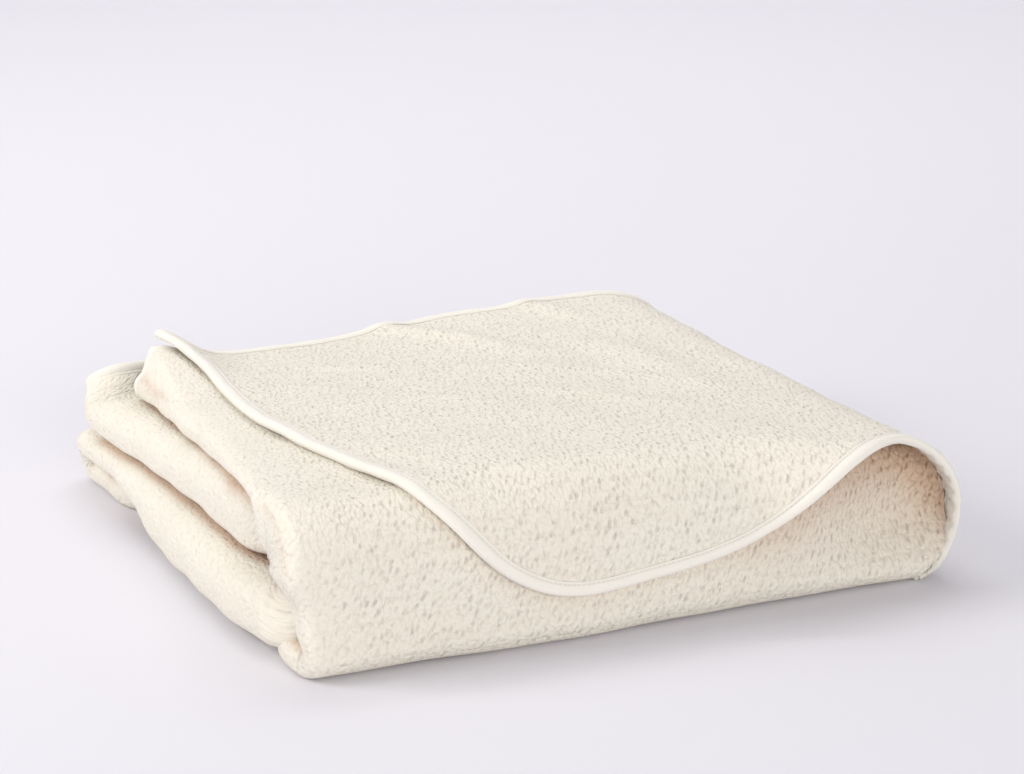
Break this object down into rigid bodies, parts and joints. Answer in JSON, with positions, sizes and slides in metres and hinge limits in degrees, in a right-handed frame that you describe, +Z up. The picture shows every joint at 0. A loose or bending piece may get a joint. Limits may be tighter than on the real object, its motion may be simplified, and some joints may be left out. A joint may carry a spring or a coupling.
{
  "type": "folded throw blanket",
  "caption": "Woven throw blanket with a bound edge, lying folded into a soft stack, its last width curling up one side and over the top with one corner hanging over the front.",
  "frame": {"origin": "centre of the bounding box on the floor", "axes": "+Z up, +X along the front towards the curled side, +Y from the front to the back"},
  "size_m": [0.46, 0.4536, 0.1148],
  "materials": {
    "cream_cloth": "matte waffle weave",
    "ivory_tape": "smooth plain weave tape"
  },
  "bodies": {
    "root": {"cloth": "cream_cloth", "flap_binding": "ivory_tape", "top_end_binding": "ivory_tape", "inner_end_binding": "ivory_tape"}
  },
  "joints": []
}
